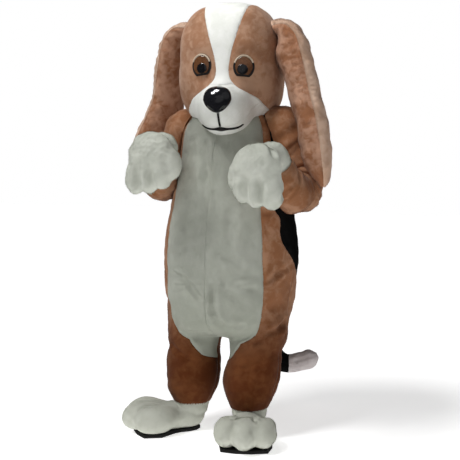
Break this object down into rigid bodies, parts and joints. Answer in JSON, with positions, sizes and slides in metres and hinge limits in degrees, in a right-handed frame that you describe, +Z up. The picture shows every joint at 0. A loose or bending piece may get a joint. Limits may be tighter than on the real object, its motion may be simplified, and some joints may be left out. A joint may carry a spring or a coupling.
{
  "type": "dog mascot costume",
  "caption": "Full-body plush dog mascot costume with a hollow head, long stuffed ears, mitts, boots and a tail, held in its worn pose.",
  "frame": {"origin": "between the wearer's shoulders, 1.42 m above the soles, where the suit hangs", "axes": "+Z up, -Y the way the body faces, +X the wearer's left"},
  "size_m": [0.9944, 0.9249, 1.837],
  "materials": {
    "white_plush": "short plush",
    "brown_plush": "short plush",
    "black_plush": "short plush",
    "cream_plush": "short plush",
    "black_felt": "felt",
    "brown_eye": "gloss",
    "black_eye": "gloss",
    "nose_vinyl": "gloss",
    "black_rubber": "matte"
  },
  "bodies": {
    "root": {"bib_left": "white_plush", "bib_right": "white_plush", "flank_left": "brown_plush", "flank_right": "brown_plush", "seat_left": "brown_plush", "seat_right": "brown_plush", "saddle_left": "black_plush", "saddle_right": "black_plush", "sleeve_left": "brown_plush", "sleeve_right": "brown_plush", "mitt_left": "white_plush", "mitt_right": "white_plush", "boot_left": "white_plush", "boot_right": "white_plush", "sole_left": "black_rubber", "sole_right": "black_rubber", "tail_base": "black_plush", "tail_tip": "white_plush", "blaze": "white_plush", "muzzle_left": "white_plush", "muzzle_right": "white_plush", "chin": "white_plush", "head_side_left": "brown_plush", "head_side_right": "brown_plush", "ear_outer_left": "brown_plush", "ear_outer_right": "brown_plush", "ear_inner_left": "brown_plush", "ear_inner_right": "brown_plush", "eye_base_left": "black_felt", "eye_base_right": "black_felt", "eye_lid_left": "cream_plush", "eye_lid_right": "cream_plush", "iris_left": "brown_eye", "iris_right": "brown_eye", "pupil_left": "black_eye", "pupil_right": "black_eye", "nose": "nose_vinyl", "philtrum": "black_felt", "mouth": "black_felt"}
  },
  "joints": []
}
